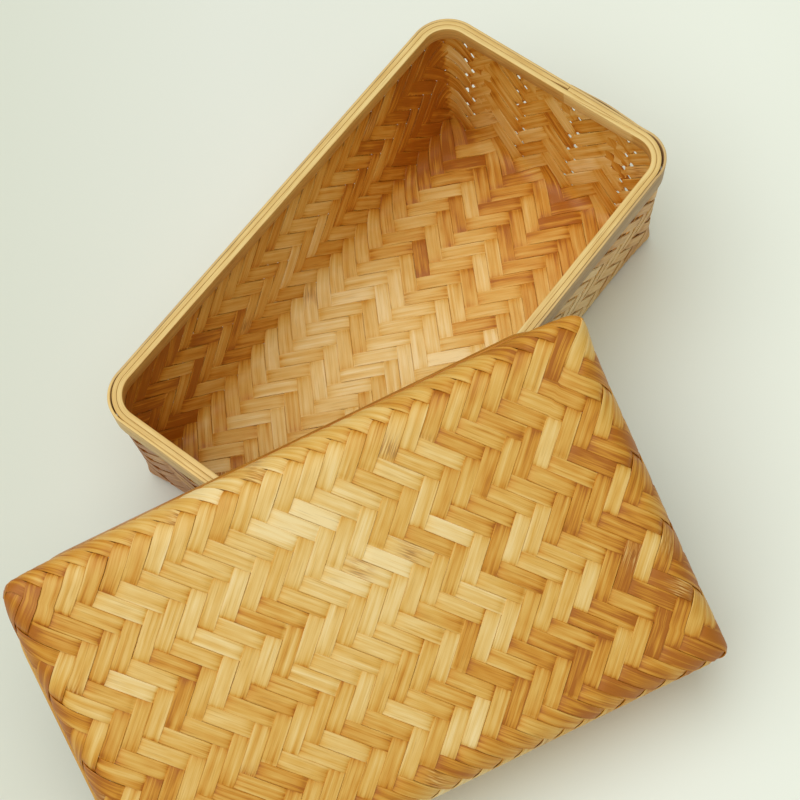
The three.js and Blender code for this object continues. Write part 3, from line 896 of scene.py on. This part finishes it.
def dress(piece, material, body, slot, *nodes):
    """Gives a piece its material, the body that it rides on and what it replaces; its slot is not
    used.
    """
    piece.data.materials.append(material)
    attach(piece, body)
    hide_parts(*nodes)


strip_bamboo = bamboo("strip_bamboo", STRIP_TONES, streaks=0.95)
rim_bamboo = bamboo("rim_bamboo", RIM_TONES, streaks=0.5)
skin_bamboo = bamboo("skin_bamboo", SKIN_TONES, streaks=0.5)

outer_looks = {"tray": (0.5, skin_bamboo), "lid": (0.05, strip_bamboo)}  # tone and material
for basket in (tray, lid):
    body = basket.name
    for family, slant in ((1, "falling"), (-1, "rising")):
        piece = woven_strips(basket, family, f"{body}_{slant}_strips")
        dress(piece, strip_bamboo, body, "woven_strips", f"{body}_woven_body")
    inner = hoop(basket, f"{body}_inner_hoop", True, INNER_SEED, INNER_TONE)
    dress(inner, rim_bamboo, body, "inner_hoop", f"{body}_rim_inner_hoop")
    shade, skin = outer_looks[body]
    outer = hoop(basket, f"{body}_outer_hoop", False, OUTER_SEED, shade)
    dress(outer, skin, body, "outer_hoop", f"{body}_rim_outer_hoop")
    strip = filler(basket, f"{body}_filler_strip", FILLER_TONE)
    dress(strip, rim_bamboo, body, "rim_filler", f"{body}_rim_filler")


# The studio: a pale table, a large soft light overhead, a weak one in front and an even room
TABLE_HALF = 4.0
TABLE_FADE = 0.24  # from the table's middle to where its tone stops changing, either way
TABLE_CLOUD = 0.1  # how far faint clouds move its tone
TABLE_TONES = (
    (0.0, srgb(216, 219, 211)),
    (0.4, srgb(232, 234, 232)),
    (1.0, srgb(242, 245, 242)),
)
LAMP_COLOUR = (1.0, 0.99, 0.965)
ROOM_COLOUR = (0.9, 1.0, 0.71, 1.0)
ROOM_STRENGTH = 0.32


def table_top():
    """A wide pale table, a little deeper in tone towards -x and +y, with faint clouds."""
    n = Nodes("pale_table")
    place = n.add("TexCoord").outputs["Object"]
    cloud = n.add("TexNoise", {"Vector": place, "Scale": 1.5, "Detail": 2.0}).outputs["Fac"]
    parts = n.add("SeparateXYZ", {"Vector": place}).outputs
    across = n.math("SUBTRACT", parts["X"], parts["Y"])
    share = n.span(across, -TABLE_FADE, TABLE_FADE)
    share = n.math("ADD", share, n.math("MULTIPLY", cloud, TABLE_CLOUD), clamp=True)
    colour = n.ramp(share, TABLE_TONES)
    shader = n.add("BsdfPrincipled", {"Base Color": colour, "Roughness": 0.7})
    n.add("OutputMaterial", {"Surface": shader.outputs["BSDF"]})
    mesh = bpy.data.meshes.new("table_top")
    corners = ((-1, -1), (1, -1), (1, 1), (-1, 1))
    corners = [(x * TABLE_HALF, y * TABLE_HALF, 0) for x, y in corners]
    mesh.from_pydata(corners, [], [(0, 1, 2, 3)])
    top = add_object("table_top", mesh)
    mesh.materials.append(n.material)


def aim(thing, place, target):
    """Puts a lamp at place and turns it to face target."""
    thing.location = Vector(place)
    thing.rotation_mode = "QUATERNION"
    thing.rotation_quaternion = (Vector(target) - Vector(place)).to_track_quat("-Z", "Y")


def soft_light(name, place, size, energy):
    """A wide lamp that faces the middle of the table."""
    lamp = bpy.data.lights.new(name, "AREA")
    lamp.shape = "RECTANGLE"
    lamp.size, lamp.size_y = size
    lamp.energy = energy
    lamp.color = LAMP_COLOUR
    aim(add_object(name, lamp), place, (0, 0, 0))


def room_light():
    """An even light from all round."""
    world = bpy.data.worlds.new("room")
    bpy.context.scene.world = world
    world.use_nodes = True
    sky = world.node_tree.nodes["Background"]
    sky.inputs["Color"].default_value = ROOM_COLOUR
    sky.inputs["Strength"].default_value = ROOM_STRENGTH


# The camera, from the photograph: a long lens, high over the lid's side, turned a little
FRAME_PIXELS = 800
FOCAL_PIXELS = 2100
SENSOR_WIDTH = 36
CAMERA_AZIMUTH = math.radians(-134.11)
CAMERA_HEIGHT = math.radians(63.31)
CAMERA_ROLL = math.radians(-9.86)
CAMERA_AWAY = 778.0
CAMERA_TARGET = np.array([-16.57, -10.50, 0.0])


def photo_camera():
    """The camera, at the place that was fitted to the photograph."""
    back = np.array(
        [
            math.cos(CAMERA_AZIMUTH) * math.cos(CAMERA_HEIGHT),
            math.sin(CAMERA_AZIMUTH) * math.cos(CAMERA_HEIGHT),
            math.sin(CAMERA_HEIGHT),
        ]
    )
    right = np.cross([0, 0, 1], back)
    right /= np.linalg.norm(right)
    up = np.cross(back, right)
    turn = (math.cos(CAMERA_ROLL), math.sin(CAMERA_ROLL))
    right, up = turn[0] * right + turn[1] * up, turn[0] * up - turn[1] * right
    data = bpy.data.cameras.new("photo_camera")
    data.sensor_fit = "HORIZONTAL"
    data.sensor_width = SENSOR_WIDTH
    data.lens = SENSOR_WIDTH * FOCAL_PIXELS / FRAME_PIXELS
    data.clip_start, data.clip_end = 0.05, 20
    camera = add_object("photo_camera", data)
    place = np.eye(4)
    place[:3, 0], place[:3, 1], place[:3, 2] = right, up, back
    place[:3, 3] = (CAMERA_TARGET + back * CAMERA_AWAY) * MM
    camera.matrix_world = Matrix(place.tolist())
    bpy.context.scene.camera = camera


table_top()
soft_light("ceiling_light", place=(-0.42, 0.34, 1.85), size=(3.0, 3.0), energy=45.6)
soft_light("front_light", place=(-0.3, -1.1, 0.5), size=(1.4, 0.7), energy=0.8)
room_light()
photo_camera()
bpy.context.scene.view_settings.view_transform = "Standard"
